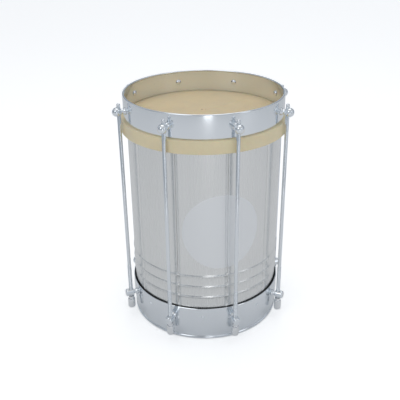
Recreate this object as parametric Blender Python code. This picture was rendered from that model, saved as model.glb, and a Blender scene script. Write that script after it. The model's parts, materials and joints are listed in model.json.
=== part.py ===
# Cuica: a steel friction drum with a goat-skin head, eight tension rods and a bamboo stick.
# Metres, +Z up, standing on its open end with the drum's axis on Z and its front towards -Y.

import math

import bmesh
import bpy
from mathutils import Matrix, Vector

MM = 0.001

# Clearance between solids that touch on the real drum
GAP = 0.3 * MM

# Facets round the hoops: a lug always faces the middle of a flat
FACETS = 40
FLAT = math.cos(math.pi / FACETS)

# Shell: rolled sheet with pressed flutes, beads and a turned-in bearing edge
SHELL_R = 110.0 * MM
SHELL_SHEET = 1.0 * MM
BEARING_TOP = 313.4 * MM
BEARING_ROLL = 3.2 * MM
BEARING_DEPTH = 4.4 * MM
FLUTES = 10
FLUTE_WIDTH = 4.4 * MM
FLUTE_DEPTH = 2.0 * MM
FLUTE_FOOT = 58.0 * MM
FLUTE_HEAD = 300.0 * MM
FLUTE_FADE = 4.0 * MM
PANEL_FACETS = 4
BEAD_WIDTH = 5.2 * MM
BEAD_RISE = 1.0 * MM
BEAD_FIRST = 73.1 * MM
BEAD_PITCH = 17.3 * MM
BEADS = 3

# Bottom ring: collar with a hem that grips the shell's lower edge
RING_SHEET = 1.2 * MM
RING_HEIGHT = 54.7 * MM
RING_BEND = 34.0 * MM
RING_FLARE = 1.4 * MM
HEM_LIP = 9.0 * MM
HEM_ROUND = 1.4 * MM
RIVET_R = 2.4 * MM
RIVET_RISE = 1.0 * MM
RIVET_HEIGHT = 41.0 * MM

# Skin and the wooden hoop that it is lapped on
SKIN = 0.8 * MM
HEAD_RISE = 3.8 * MM
COLLAR_DEPTH = 7.5 * MM
LAP_DROP = 0.6 * MM
LAP_TUCK = 8.0 * MM
FLESH_WIDTH = 4.8 * MM
FLESH_HEIGHT = 16.3 * MM
FLESH_CHAMFER = 0.7 * MM

# Counterhoop
HOOP_SHEET = 1.5 * MM
HOOP_HEIGHT = 33.0 * MM
HOOP_INSET = 0.76 * MM
RIM_WIDTH = 2.8 * MM
RIM_HEIGHT = 2.9 * MM

# Tension hardware
LUGS = 8
LUG_FIRST = math.radians(22.5)
LUG_SIDES = 10
TOP_LUG_UP = 15.3 * MM
BOTTOM_LUG_Z = 38.3 * MM
ROD_R = 2.65 * MM
ROD_SIDES = 8
THREAD_R = 3.0 * MM
THREAD_LENGTH = 73.0 * MM
ROD_STANDOFF = 1.7 * MM
ROD_STUB = 6.4 * MM
LUG_FOOT_R = 5.0 * MM
LUG_FOOT = 1.0 * MM
LUG_NECK_R = 3.5 * MM
LUG_FLARE = 2.4 * MM
BALL_R = 6.3 * MM
BALL_OFFSET = 2.9 * MM
BALL_COLLAR_R = 4.2 * MM
BALL_COLLAR = 0.9 * MM
BARREL_R = 5.9 * MM
BARREL_INNER = 3.6 * MM
BARREL_OUTER = 8.2 * MM
BARREL_ROUND = 1.5 * MM
NUT_FLATS = 10.0 * MM
NUT_HEX = 15.0 * MM
NUT_COLLAR_R = 4.5 * MM
NUT_COLLAR = 5.1 * MM
NUT_CHAMFER = 0.8 * MM
ROD_END = 3.0 * MM
SCREW_R = 1.9 * MM
SCREW_SIDES = 8
SCREW_HEAD_R = 4.0 * MM
SCREW_HEAD = 2.2 * MM
SCREW_REACH = 4.4 * MM
SCREW_TIP_ROOM = 0.5 * MM

# Bamboo stick under the head, and its thread
STICK_R = 3.0 * MM
STICK_LENGTH = 250.0 * MM
STICK_NECK_R = 1.9 * MM
STICK_HEAD = 2.0 * MM
STICK_SWING = 0.65 * MM
NODE_RISE = 0.5 * MM
NODE_WIDTH = 3.0 * MM
NODE_FIRST = 78.0 * MM
NODE_PITCH = 96.0 * MM
THREAD_TURNS = 5
TIE_HALF = 3.0 * MM
TIE_WALL = 1.6 * MM
TIE_GROOVE = 0.25 * MM
TIE_SIDES = 12

# Radii that follow from the shell outwards: each piece clears the one inside it
COLLAR_IN = (SHELL_R + GAP) / FLAT
COLLAR_OUT = COLLAR_IN + SKIN
LAP_IN = COLLAR_OUT + GAP
FLESH_IN = LAP_IN + SKIN + GAP
FLESH_OUT = FLESH_IN + FLESH_WIDTH
LAP_OUT = FLESH_OUT + GAP + SKIN
HOOP_IN = LAP_IN + HOOP_INSET
HOOP_OUT = HOOP_IN + HOOP_SHEET
RING_IN = (SHELL_R + GAP) / FLAT
RING_OUT = RING_IN + RING_SHEET
ROD_CIRCLE = LAP_OUT + ROD_STANDOFF + ROD_R
PANEL_ANGLE = (2 * math.pi / FLUTES - FLUTE_WIDTH / SHELL_R) / PANEL_FACETS
SHELL_FLAT_IN = (SHELL_R - SHELL_SHEET) * math.cos(PANEL_ANGLE / 2)
HEM_OUT = SHELL_FLAT_IN - GAP
HEM_IN = HEM_OUT - RING_SHEET

# Heights that follow from the bearing edge upwards
HEAD_UNDER = BEARING_TOP + GAP
HEAD_TOP = HEAD_UNDER + SKIN
LAP_TOP = HEAD_TOP - LAP_DROP
FLESH_TOP = LAP_TOP - SKIN - GAP
FLESH_BOTTOM = FLESH_TOP - FLESH_HEIGHT
LAP_BOTTOM = FLESH_BOTTOM - GAP - SKIN
HOOP_BOTTOM = LAP_TOP + GAP
HOOP_TOP = HOOP_BOTTOM + HOOP_HEIGHT
TOP_LUG_Z = HOOP_BOTTOM + TOP_LUG_UP
NUT_TOP = BOTTOM_LUG_Z - BARREL_R - GAP
NUT_FOOT = NUT_TOP - NUT_COLLAR - NUT_HEX
STICK_TOP = HEAD_UNDER + HEAD_RISE - GAP
STICK_HEAD_REACH = TIE_HALF + STICK_SWING + STICK_HEAD
STICK_PIVOT = STICK_TOP - STICK_HEAD_REACH


def arc(centre_r, centre_z, radius, first, last, steps):
    """Points (r, z) on a circular arc, angles in degrees from the +r direction."""
    points = []
    for i in range(steps + 1):
        angle = math.radians(first + (last - first) * i / steps)
        points.append((centre_r + radius * math.cos(angle), centre_z + radius * math.sin(angle)))
    return points


def turned(profile, sides, start=0.0):
    """Closed turned mesh: a loop of (r, z) points spun round the Z axis."""
    bm = bmesh.new()
    turn = Matrix.Rotation(start, 3, "Z")
    ring = [bm.verts.new(turn @ Vector((r, 0.0, z))) for r, z in profile]
    edges = [bm.edges.new((ring[i - 1], ring[i])) for i in range(len(ring))]
    bmesh.ops.spin(
        bm, geom=ring + edges, cent=(0, 0, 0), axis=(0, 0, 1), dvec=(0, 0, 0),
        angle=2 * math.pi, steps=sides, use_merge=True, use_duplicate=False,
    )
    bmesh.ops.remove_doubles(bm, verts=bm.verts, dist=1e-6)
    axis_edges = [e for e in bm.edges if not e.link_faces]
    bmesh.ops.delete(bm, geom=axis_edges, context="EDGES")
    bmesh.ops.recalc_face_normals(bm, faces=bm.faces)
    return bm


def finish_mesh(bm, name, sharp_degrees=35.0):
    """Mesh data from a bmesh, shaded smooth up to the sharp angle."""
    mesh = bpy.data.meshes.new(name)
    bm.to_mesh(mesh)
    bm.free()
    mesh.shade_smooth()
    mesh.set_sharp_from_angle(angle=math.radians(sharp_degrees))
    return mesh


def material(name, colour, roughness, metallic):
    """Principled material in the piece's own colour."""
    made = bpy.data.materials.new(name)
    made.use_nodes = True
    shader = made.node_tree.nodes["Principled BSDF"]
    shader.inputs["Base Color"].default_value = (*colour, 1.0)
    shader.inputs["Roughness"].default_value = roughness
    shader.inputs["Metallic"].default_value = metallic
    return made


def place(name, mesh, location=(0, 0, 0), rotation=(0, 0, 0), parent=None):
    """Object for one piece, set in place under its group's empty."""
    piece = bpy.data.objects.new(name, mesh)
    bpy.context.scene.collection.objects.link(piece)
    piece.parent = parent
    offset = parent.location if parent else Vector((0, 0, 0))
    piece.location = Vector(location) - offset
    piece.rotation_euler = rotation
    return piece


def empty(name, location):
    """Empty that carries a group of pieces."""
    group = bpy.data.objects.new(name, None)
    group.location = location
    group.empty_display_size = 20 * MM
    bpy.context.scene.collection.objects.link(group)
    return group


def combined(mesh, other, operation):
    """Mesh after an exact Boolean with the mesh of another shape."""
    base = place("base_shape", mesh)
    tool = place("tool_shape", other)
    change = base.modifiers.new("change", "BOOLEAN")
    change.object = tool
    change.operation = operation
    change.solver = "EXACT"
    bpy.context.view_layer.update()
    graph = bpy.context.evaluated_depsgraph_get()
    result = bpy.data.meshes.new_from_object(base.evaluated_get(graph))
    result.name = mesh.name
    for shape in (base, tool):
        bpy.data.objects.remove(shape)
    result.shade_smooth()
    result.set_sharp_from_angle(angle=math.radians(35.0))
    return result


def radial_pins(radius, start_r, end_r, height, azimuths, sides=8):
    """Mesh of round pins that point outwards from the drum's axis."""
    bm = bmesh.new()
    for azimuth in azimuths:
        place_pin = (
            Matrix.Rotation(azimuth, 4, "Z")
            @ Matrix.Translation((0, -(start_r + end_r) / 2, height))
            @ Matrix.Rotation(math.pi / 2, 4, "X")
        )
        bmesh.ops.create_cone(
            bm, cap_ends=True, segments=sides, radius1=radius, radius2=radius,
            depth=end_r - start_r, matrix=place_pin,
        )
    return finish_mesh(bm, "radial_pins")


def outward(azimuth, radius, height):
    """Point at a height, at an azimuth counted from the front (-Y)."""
    return Vector((radius * math.sin(azimuth), -radius * math.cos(azimuth), height))


def lug_azimuths():
    """Azimuths of the lugs and rods."""
    return [LUG_FIRST + 2 * math.pi * i / LUGS for i in range(LUGS)]


def rivet_azimuths():
    """Azimuths of the rivets, halfway between the lugs."""
    return [LUG_FIRST + 2 * math.pi * (i + 0.5) / LUGS for i in range(LUGS)]


def shell_rows():
    """Closed loop of (r, z, flute share): the share says how much of a flute's depth a row has."""
    inner_r = SHELL_R - SHELL_SHEET
    foot = RING_SHEET + GAP
    wall = [(0.0, foot, 0.0), (0.0, FLUTE_FOOT - FLUTE_FADE / 2, 0.0), (0.0, FLUTE_FOOT + FLUTE_FADE / 2, 1.0)]
    for i in range(BEADS):
        middle = BEAD_FIRST + BEAD_PITCH * i
        wall.append((0.0, middle - BEAD_WIDTH / 2, 1.0))
        wall.append((BEAD_RISE, middle, 0.0))
        wall.append((0.0, middle + BEAD_WIDTH / 2, 1.0))
    wall.append((0.0, FLUTE_HEAD - FLUTE_FADE / 2, 1.0))
    wall.append((0.0, FLUTE_HEAD + FLUTE_FADE / 2, 0.0))
    roll = BEARING_ROLL / 2
    edge = arc(SHELL_R - roll, BEARING_TOP - roll, roll, 0, 180, 4)
    edge.append((SHELL_R - BEARING_ROLL, BEARING_TOP - BEARING_DEPTH))
    edge.append((inner_r, BEARING_TOP - BEARING_DEPTH - SHELL_SHEET))
    rows = [(SHELL_R + rise, z, share) for rise, z, share in wall]
    rows += [(r, z, 0.0) for r, z in edge]
    rows += [(inner_r + rise, z, share) for rise, z, share in reversed(wall)]
    return rows


def shell_columns():
    """Column azimuths with the flute share of each: four columns to a flute, plain ones between."""
    half = FLUTE_WIDTH / 2 / SHELL_R
    floor = 0.45 * half
    columns = []
    for i in range(FLUTES):
        middle = 2 * math.pi * (i + 0.5) / FLUTES
        columns += [(middle - half, 0.0), (middle - floor, 1.0), (middle + floor, 1.0), (middle + half, 0.0)]
        columns += [(middle + half + PANEL_ANGLE * step, 0.0) for step in range(1, PANEL_FACETS)]
    return columns


def shell_mesh():
    """Shell: spun from its section, then its columns are drawn to the flutes and pressed in."""
    rows = shell_rows()
    columns = shell_columns()
    bm = turned([(r, z) for r, z, share in rows], len(columns))
    for vert in bm.verts:
        x, y, z = vert.co
        column = round(math.atan2(y, x) / (2 * math.pi) * len(columns)) % len(columns)
        azimuth, column_share = columns[column]
        r = math.hypot(x, y)
        row_share = min(rows, key=lambda row: abs(row[0] - r) + abs(row[1] - z))[2]
        vert.co = outward(azimuth, r - FLUTE_DEPTH * column_share * row_share, z)
    bmesh.ops.recalc_face_normals(bm, faces=bm.faces)
    mesh = finish_mesh(bm, "shell")
    holes = radial_pins(SCREW_R + GAP, SHELL_R - 8 * MM, SHELL_R + 8 * MM, BOTTOM_LUG_Z, lug_azimuths())
    return combined(mesh, holes, "DIFFERENCE")


def ring_mesh():
    """Bottom ring: collar, hem round the shell's lower edge, screw holes and rivets."""
    flare = RING_FLARE
    knee = HEM_LIP
    profile = [
        (RING_OUT + flare, RING_HEIGHT),
        (RING_OUT + flare, RING_BEND),
        (RING_OUT, knee),
        (RING_OUT, HEM_ROUND * 1.6),
        (RING_OUT - HEM_ROUND * 0.4, HEM_ROUND * 0.5),
        (RING_OUT - HEM_ROUND, 0.0),
        (HEM_IN + HEM_ROUND * 0.7, 0.0),
        (HEM_IN, HEM_ROUND),
        (HEM_IN, HEM_LIP),
        (HEM_OUT, HEM_LIP),
        (HEM_OUT, RING_SHEET),
        (RING_IN, RING_SHEET),
        (RING_IN, knee),
        (RING_IN + flare, RING_BEND),
        (RING_IN + flare, RING_HEIGHT),
    ]
    mesh = finish_mesh(turned(profile, FACETS, -math.pi / 2), "bottom_ring")
    wall = RING_OUT + flare
    holes = radial_pins(SCREW_R + GAP, wall - 6 * MM, wall + 6 * MM, BOTTOM_LUG_Z, lug_azimuths())
    mesh = combined(mesh, holes, "DIFFERENCE")
    rivets = radial_pins(RIVET_R, SHELL_R + GAP, wall + RIVET_RISE, RIVET_HEIGHT, rivet_azimuths())
    return combined(mesh, rivets, "UNION")


def head_mesh():
    """Head skin: raised a little to the tie, over the bearing edge and down inside the flesh hoop."""
    shoulder = SHELL_R - BEARING_ROLL / 2
    corner = 1.2 * MM
    collar_foot = HEAD_TOP - COLLAR_DEPTH
    dome = [(0.0, 1.0), (0.12, 0.80), (0.42, 0.36), (0.76, 0.08)]
    profile = [(shoulder * share, HEAD_TOP + HEAD_RISE * rise) for share, rise in dome]
    profile += [
        (shoulder, HEAD_TOP),
        (COLLAR_OUT - corner * 0.4, HEAD_TOP - corner * 0.4),
        (COLLAR_OUT, HEAD_TOP - corner * 1.3),
        (COLLAR_OUT, collar_foot),
        (COLLAR_IN, collar_foot),
        (COLLAR_IN, BEARING_TOP - BEARING_ROLL / 2),
        (COLLAR_IN - corner * 0.3, BEARING_TOP - corner * 0.3 + GAP),
        (shoulder + corner * 0.3, HEAD_UNDER),
    ]
    profile += [(shoulder * share, HEAD_UNDER + HEAD_RISE * rise) for share, rise in reversed(dome)]
    return finish_mesh(turned(profile, FACETS, -math.pi / 2), "head_skin")


def flesh_hoop_mesh():
    """Flesh hoop: bent wood with broken edges."""
    chamfer = FLESH_CHAMFER
    profile = [
        (FLESH_IN, FLESH_TOP),
        (FLESH_OUT - chamfer, FLESH_TOP),
        (FLESH_OUT, FLESH_TOP - chamfer),
        (FLESH_OUT, FLESH_BOTTOM + chamfer),
        (FLESH_OUT - chamfer, FLESH_BOTTOM),
        (FLESH_IN, FLESH_BOTTOM),
    ]
    return finish_mesh(turned(profile, FACETS, -math.pi / 2), "flesh_hoop")


def lap_mesh():
    """Skin lap: over the flesh hoop, down its outside, under it and tucked up inside."""
    chamfer = FLESH_CHAMFER
    outer = [
        (LAP_IN, LAP_TOP),
        (LAP_OUT - chamfer, LAP_TOP),
        (LAP_OUT, LAP_TOP - chamfer),
        (LAP_OUT, LAP_BOTTOM + chamfer),
        (LAP_OUT - chamfer, LAP_BOTTOM),
        (LAP_IN, LAP_BOTTOM),
        (LAP_IN, LAP_BOTTOM + LAP_TUCK),
    ]
    inner = [
        (LAP_IN + SKIN, LAP_BOTTOM + LAP_TUCK),
        (LAP_IN + SKIN, LAP_BOTTOM + SKIN),
        (LAP_OUT - SKIN - chamfer / 2, LAP_BOTTOM + SKIN),
        (LAP_OUT - SKIN, LAP_BOTTOM + SKIN + chamfer / 2),
        (LAP_OUT - SKIN, LAP_TOP - SKIN - chamfer / 2),
        (LAP_OUT - SKIN - chamfer / 2, LAP_TOP - SKIN),
        (LAP_IN, LAP_TOP - SKIN),
    ]
    return finish_mesh(turned(outer + inner, FACETS, -math.pi / 2), "skin_lap")


def hoop_mesh():
    """Counterhoop: tall sheet band, its rim turned inwards, with the lug screws' holes."""
    profile = [
        (HOOP_OUT, HOOP_BOTTOM),
        (HOOP_OUT, HOOP_TOP - RIM_HEIGHT * 0.4),
        (HOOP_OUT - RIM_WIDTH * 0.22, HOOP_TOP),
        (HOOP_OUT - RIM_WIDTH * 0.78, HOOP_TOP),
        (HOOP_OUT - RIM_WIDTH, HOOP_TOP - RIM_HEIGHT * 0.4),
        (HOOP_OUT - RIM_WIDTH, HOOP_TOP - RIM_HEIGHT * 0.75),
        (HOOP_IN, HOOP_TOP - RIM_HEIGHT),
        (HOOP_IN, HOOP_BOTTOM),
    ]
    mesh = finish_mesh(turned(profile, FACETS, -math.pi / 2), "counterhoop")
    holes = radial_pins(SCREW_R + GAP, HOOP_IN - 5 * MM, HOOP_OUT + 5 * MM, TOP_LUG_Z, lug_azimuths())
    return combined(mesh, holes, "DIFFERENCE")


def lug_mesh(name, foot_r, body, bore_r):
    """Turned lug, its axis on Z: foot, flared neck and body, with the rod's hole and the screw's."""
    profile = [(0.0, 0.0), (LUG_FOOT_R, 0.0), (LUG_FOOT_R, LUG_FOOT), (LUG_NECK_R, LUG_FOOT + LUG_FLARE)]
    mesh = finish_mesh(turned(profile + body, LUG_SIDES), name)
    bm = bmesh.new()
    rod_hole = Matrix.Translation((0, 0, ROD_CIRCLE - foot_r)) @ Matrix.Rotation(math.pi / 2, 4, "X")
    bmesh.ops.create_cone(
        bm, cap_ends=True, segments=ROD_SIDES, radius1=bore_r, radius2=bore_r, depth=40 * MM, matrix=rod_hole,
    )
    depth = SCREW_REACH + SCREW_TIP_ROOM
    screw_hole = Matrix.Translation((0, 0, depth / 2 - 1 * MM))
    radius = (SCREW_R + GAP) / math.cos(math.pi / SCREW_SIDES)
    bmesh.ops.create_cone(
        bm, cap_ends=True, segments=SCREW_SIDES, radius1=radius, radius2=radius,
        depth=depth + 2 * MM, matrix=screw_hole,
    )
    return combined(mesh, finish_mesh(bm, "lug_holes"), "DIFFERENCE")


def top_lug_mesh(foot_r):
    """Top lug: small collar and a ball, which the rod goes through."""
    middle = ROD_CIRCLE + BALL_OFFSET - foot_r
    start = math.degrees(math.asin(LUG_NECK_R / BALL_R))
    root = middle - BALL_R * math.cos(math.radians(start))
    body = [(BALL_COLLAR_R, root - BALL_COLLAR * 1.5), (BALL_COLLAR_R, root - BALL_COLLAR * 0.5)]
    body += arc(0.0, middle, BALL_R, start - 90, 90, 5)
    return lug_mesh("top_lug", foot_r, body, (ROD_R + GAP) / math.cos(math.pi / ROD_SIDES))


def bottom_lug_mesh(foot_r):
    """Bottom lug: thick barrel, which the rod goes through, with a rounded outer end."""
    middle = ROD_CIRCLE - foot_r
    inner = middle - BARREL_INNER
    outer = middle + BARREL_OUTER
    body = [
        (LUG_NECK_R, inner - BARREL_ROUND * 0.6),
        (BARREL_R, inner),
        (BARREL_R, outer - BARREL_ROUND),
        (BARREL_R - BARREL_ROUND, outer - BARREL_ROUND * 0.25),
        (0.0, outer),
    ]
    return lug_mesh("bottom_lug", foot_r, body, (THREAD_R + GAP) / math.cos(math.pi / ROD_SIDES))


def rod_mesh():
    """Tension rod, its origin at its lower end: thread, shank and a rounded stub."""
    ball_top = TOP_LUG_Z + math.sqrt(BALL_R ** 2 - BALL_OFFSET ** 2)
    length = ball_top + ROD_STUB - NUT_FOOT - ROD_END
    profile = [
        (0.0, 0.0),
        (THREAD_R - 0.6 * MM, 0.0),
        (THREAD_R, 0.6 * MM),
        (THREAD_R, THREAD_LENGTH),
        (ROD_R, THREAD_LENGTH + 0.5 * MM),
        (ROD_R, length - ROD_R * 0.6),
        (ROD_R * 0.6, length - ROD_R * 0.1),
        (0.0, length),
    ]
    return finish_mesh(turned(profile, ROD_SIDES), "tension_rod")


def nut_mesh():
    """Tension nut, its origin in its foot: long hexagon under a round collar, bored for the rod."""
    corner = NUT_FLATS / 2 / math.cos(math.pi / 6)
    hexagon = [(0.0, 0.0), (corner - NUT_CHAMFER, 0.0), (corner, NUT_CHAMFER), (corner, NUT_HEX), (0.0, NUT_HEX)]
    body = finish_mesh(turned(hexagon, 6), "nut_hexagon")
    top = NUT_HEX + NUT_COLLAR
    collar = [(0.0, NUT_HEX - 1 * MM), (NUT_COLLAR_R, NUT_HEX - 1 * MM), (NUT_COLLAR_R, top), (0.0, top)]
    body = combined(body, finish_mesh(turned(collar, ROD_SIDES), "nut_collar"), "UNION")
    bore_r = (THREAD_R + GAP) / math.cos(math.pi / ROD_SIDES)
    bore = [(0.0, -1 * MM), (bore_r, -1 * MM), (bore_r, top + 1 * MM), (0.0, top + 1 * MM)]
    return combined(body, finish_mesh(turned(bore, ROD_SIDES), "nut_bore"), "DIFFERENCE")


def screw_mesh(name, grip):
    """Domed screw, its axis on Z and its origin under the head: grip is what it passes through."""
    length = grip + SCREW_REACH
    profile = [
        (0.0, -SCREW_HEAD),
        (SCREW_HEAD_R * 0.55, -SCREW_HEAD * 0.85),
        (SCREW_HEAD_R, -SCREW_HEAD * 0.2),
        (SCREW_HEAD_R, 0.0),
        (SCREW_R, 0.0),
        (SCREW_R, length),
        (0.0, length),
    ]
    return finish_mesh(turned(profile, SCREW_SIDES), name)


def stick_mesh():
    """Bamboo stick, its origin at the tie: domed head, tied neck, and a shaft with its nodes."""
    neck_half = TIE_HALF + STICK_SWING
    foot = STICK_TOP - STICK_LENGTH - STICK_PIVOT
    profile = arc(0.0, 0.0, STICK_HEAD_REACH, 90, 62, 2)
    profile += [(profile[-1][0], neck_half), (STICK_NECK_R, neck_half), (STICK_NECK_R, -neck_half)]
    profile += [(STICK_R - 0.4 * MM, -neck_half), (STICK_R, -neck_half - 0.8 * MM)]
    first = -neck_half - NODE_FIRST
    for i in range(2):
        middle = first - NODE_PITCH * i
        profile += [
            (STICK_R, middle + NODE_WIDTH / 2),
            (STICK_R + NODE_RISE, middle),
            (STICK_R, middle - NODE_WIDTH / 2),
        ]
    profile += [(STICK_R, foot + 0.8 * MM), (STICK_R - 0.8 * MM, foot), (0.0, foot)]
    return finish_mesh(turned(profile, 10), "stick")


def tie_mesh():
    """Thread winding round the stick's neck, its origin at its middle."""
    inner_r = (STICK_NECK_R + STICK_SWING) / math.cos(math.pi / TIE_SIDES)
    outer_r = inner_r + TIE_WALL
    pitch = 2 * TIE_HALF / THREAD_TURNS
    profile = [(inner_r, TIE_HALF), (inner_r, -TIE_HALF)]
    for i in range(THREAD_TURNS):
        low = -TIE_HALF + pitch * i
        profile += [(outer_r - TIE_GROOVE, low), (outer_r, low + pitch / 2)]
    profile.append((outer_r - TIE_GROOVE, TIE_HALF))
    return finish_mesh(turned(profile, TIE_SIDES), "tie_thread")


def add_body(group):
    """Shell, ring, head and the ring's lugs with their screws."""
    steel = material("polished_steel", (0.72, 0.74, 0.76), 0.22, 1.0)
    bright = material("chrome", (0.80, 0.82, 0.84), 0.08, 1.0)
    hide = material("goat_skin", (0.80, 0.68, 0.48), 0.55, 0.0)
    shell = shell_mesh()
    shell.materials.append(steel)
    place("shell", shell, parent=group)
    ring = ring_mesh()
    ring.materials.append(bright)
    place("bottom_ring", ring, parent=group)
    head = head_mesh()
    head.materials.append(hide)
    place("head_skin", head, parent=group)
    wall = (RING_OUT + RING_FLARE) * FLAT
    foot_r = wall + GAP
    lug = bottom_lug_mesh(foot_r)
    lug.materials.append(bright)
    seat = SHELL_FLAT_IN - GAP
    screw = screw_mesh("bottom_lug_screw", foot_r - seat)
    screw.materials.append(steel)
    for number, azimuth in enumerate(lug_azimuths(), 1):
        turn = (math.pi / 2, 0, azimuth)
        place(f"bottom_lug_{number}", lug, outward(azimuth, foot_r, BOTTOM_LUG_Z), turn, group)
        place(f"bottom_lug_screw_{number}", screw, outward(azimuth, seat, BOTTOM_LUG_Z), turn, group)


def add_hoop(group):
    """Counterhoop, flesh hoop, skin lap, top lugs, their screws and the rods, which all slide."""
    bright = material("hoop_chrome", (0.80, 0.82, 0.84), 0.08, 1.0)
    wood = material("bent_wood", (0.62, 0.44, 0.26), 0.6, 0.0)
    hide = material("lapped_skin", (0.86, 0.76, 0.55), 0.5, 0.0)
    steel = material("rod_steel", (0.75, 0.77, 0.79), 0.18, 1.0)
    for name, mesh, finish in (
        ("counterhoop", hoop_mesh(), bright),
        ("flesh_hoop", flesh_hoop_mesh(), wood),
        ("skin_lap", lap_mesh(), hide),
    ):
        mesh.materials.append(finish)
        place(name, mesh, parent=group)
    foot_r = HOOP_OUT * FLAT + GAP
    lug = top_lug_mesh(foot_r)
    lug.materials.append(bright)
    seat = HOOP_IN * FLAT - GAP
    screw = screw_mesh("top_lug_screw", foot_r - seat)
    screw.materials.append(steel)
    rod = rod_mesh()
    rod.materials.append(steel)
    for number, azimuth in enumerate(lug_azimuths(), 1):
        turn = (math.pi / 2, 0, azimuth)
        place(f"top_lug_{number}", lug, outward(azimuth, foot_r, TOP_LUG_Z), turn, group)
        place(f"top_lug_screw_{number}", screw, outward(azimuth, seat, TOP_LUG_Z), turn, group)
        end = outward(azimuth, ROD_CIRCLE, NUT_FOOT + ROD_END)
        place(f"tension_rod_{number}", rod, end, (0, 0, azimuth), group)


def add_nuts(group):
    """Tension nuts, each with its origin on its own screw axis."""
    nut = nut_mesh()
    nut.materials.append(material("nut_steel", (0.78, 0.79, 0.80), 0.2, 1.0))
    for number, azimuth in enumerate(lug_azimuths(), 1):
        place(f"tension_nut_{number}", nut, outward(azimuth, ROD_CIRCLE, NUT_FOOT), (0, 0, azimuth), group)


def add_stick(group):
    """Stick and its thread, both with their origin at the point they swing about."""
    pivot = (0, 0, STICK_PIVOT)
    tie = tie_mesh()
    tie.materials.append(material("waxed_thread", (0.42, 0.30, 0.18), 0.8, 0.0))
    place("tie_thread", tie, pivot, parent=group)
    stick = stick_mesh()
    stick.materials.append(material("bamboo", (0.72, 0.58, 0.34), 0.45, 0.0))
    place("stick", stick, pivot, parent=group)


def main():
    for old in list(bpy.data.objects):
        bpy.data.objects.remove(old)
    add_body(empty("drum_body", (0, 0, 0)))
    add_hoop(empty("sliding_hoop", (0, 0, HOOP_BOTTOM)))
    add_nuts(empty("nuts", (0, 0, NUT_FOOT)))
    add_stick(empty("stick_pivot", (0, 0, STICK_PIVOT)))


main()
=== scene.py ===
import json
import math

import bpy
from bpy.props import FloatProperty, FloatVectorProperty, IntProperty, PointerProperty
from mathutils import Matrix, Vector


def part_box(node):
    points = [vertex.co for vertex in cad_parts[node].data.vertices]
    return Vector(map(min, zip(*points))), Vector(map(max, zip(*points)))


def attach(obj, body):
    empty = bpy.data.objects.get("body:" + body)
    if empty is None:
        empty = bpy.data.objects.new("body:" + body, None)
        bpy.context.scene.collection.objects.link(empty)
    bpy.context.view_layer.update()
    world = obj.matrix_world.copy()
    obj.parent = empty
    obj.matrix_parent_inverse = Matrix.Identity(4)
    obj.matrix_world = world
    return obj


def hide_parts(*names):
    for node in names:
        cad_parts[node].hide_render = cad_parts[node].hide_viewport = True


bl_info = {
    "name": "Cuica",
    "version": (1, 0, 0),
    "blender": (4, 5, 0),
    "location": "View3D > Sidebar > Cuica",
    "description": "A steel friction drum with a skin head, tension rods and a stick, round its packed model",
    "category": "Object",
}

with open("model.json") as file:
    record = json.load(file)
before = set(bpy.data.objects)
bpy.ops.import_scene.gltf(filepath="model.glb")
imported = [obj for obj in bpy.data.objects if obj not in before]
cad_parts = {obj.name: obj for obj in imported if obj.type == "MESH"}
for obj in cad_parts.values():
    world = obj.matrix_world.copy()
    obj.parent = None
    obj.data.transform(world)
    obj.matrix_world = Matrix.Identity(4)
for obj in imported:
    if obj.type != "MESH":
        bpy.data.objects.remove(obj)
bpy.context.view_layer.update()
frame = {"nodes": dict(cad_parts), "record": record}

MM = 0.001
GAP = 0.3 * MM

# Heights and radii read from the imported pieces
HOOP_LOW, HOOP_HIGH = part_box("counterhoop")
LAP_LOW, LAP_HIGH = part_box("skin_lap")
HEAD_LOW, HEAD_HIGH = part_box("head_skin")
SHELL_LOW, SHELL_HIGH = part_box("shell")
RING_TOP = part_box("bottom_ring")[1][2]
NUT_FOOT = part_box("tension_nut_1")[0][2]
ROD_LOW, ROD_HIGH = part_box("tension_rod_1")
STICK_LOW, STICK_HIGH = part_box("stick")

JOINTS = {joint["name"]: joint for joint in frame["record"]["behaviour"]["joints"]}
ROD_CIRCLE = math.hypot(*JOINTS["nut_1_turn"]["pos_m"][:2])
STICK_PIVOT = JOINTS["stick_sway"]["pos_m"][2]
LUG_COUNT = 8
LUG_FIRST = math.radians(22.5)

# Bottom ring: wall, tapered foot, inner hem and the height where the taper starts
RING_WALL = 113.24 * MM
RING_FOOT = 111.84 * MM
RING_SHEET = 1.2 * MM
RING_HEM = 107.2 * MM
RING_HEM_HEIGHT = 9.0 * MM
RING_BEND = 34.0 * MM
RIVET_HEIGHT = 41.0 * MM
RIVET_RADIUS = 2.3 * MM

# Counterhoop: sheet and rolled rim
HOOP_SHEET = 1.5 * MM
HOOP_RIM = 1.4 * MM

# Skin: thickness, the head's edge, and the band round the flesh hoop
SKIN = 0.8 * MM
HEAD_EDGE = 314.5 * MM
HEAD_SHOULDER = 108.4 * MM
HEAD_COLLAR_BEND = 1.6 * MM
HEAD_STEPS = 24
WRINKLE = (Vector((0.0, 0.0)), Vector((0.062, 0.062)), Vector((0.100, 0.085)))
WRINKLE_RISE = 0.7 * MM
WRINKLE_WIDTH = 3.0 * MM
BAND_INSIDE = 111.75 * MM
BAND_CORNER = 1.3 * MM
BAND_SKIRT = 8.0 * MM
BAND_WAVE = 0.16 * MM

# Lugs: mounting faces, heights of their axes, and what both kinds share
TOP_LUG_FACE = 114.0 * MM
TOP_LUG_HEIGHT = HOOP_LOW[2] + 15.3 * MM
BALL_PAST_ROD = 2.9 * MM
LUG_COLLAR = 4.2 * MM
BOTTOM_LUG_FACE = 113.3 * MM
BOTTOM_LUG_HEIGHT = 38.3 * MM
BARREL_INWARD = 3.6 * MM
BARREL_OUTWARD = 8.2 * MM
BARREL_CORNER = 2.2 * MM
LUG_NECK = 3.5 * MM
BORE_LENGTH = 30.0 * MM

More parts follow.
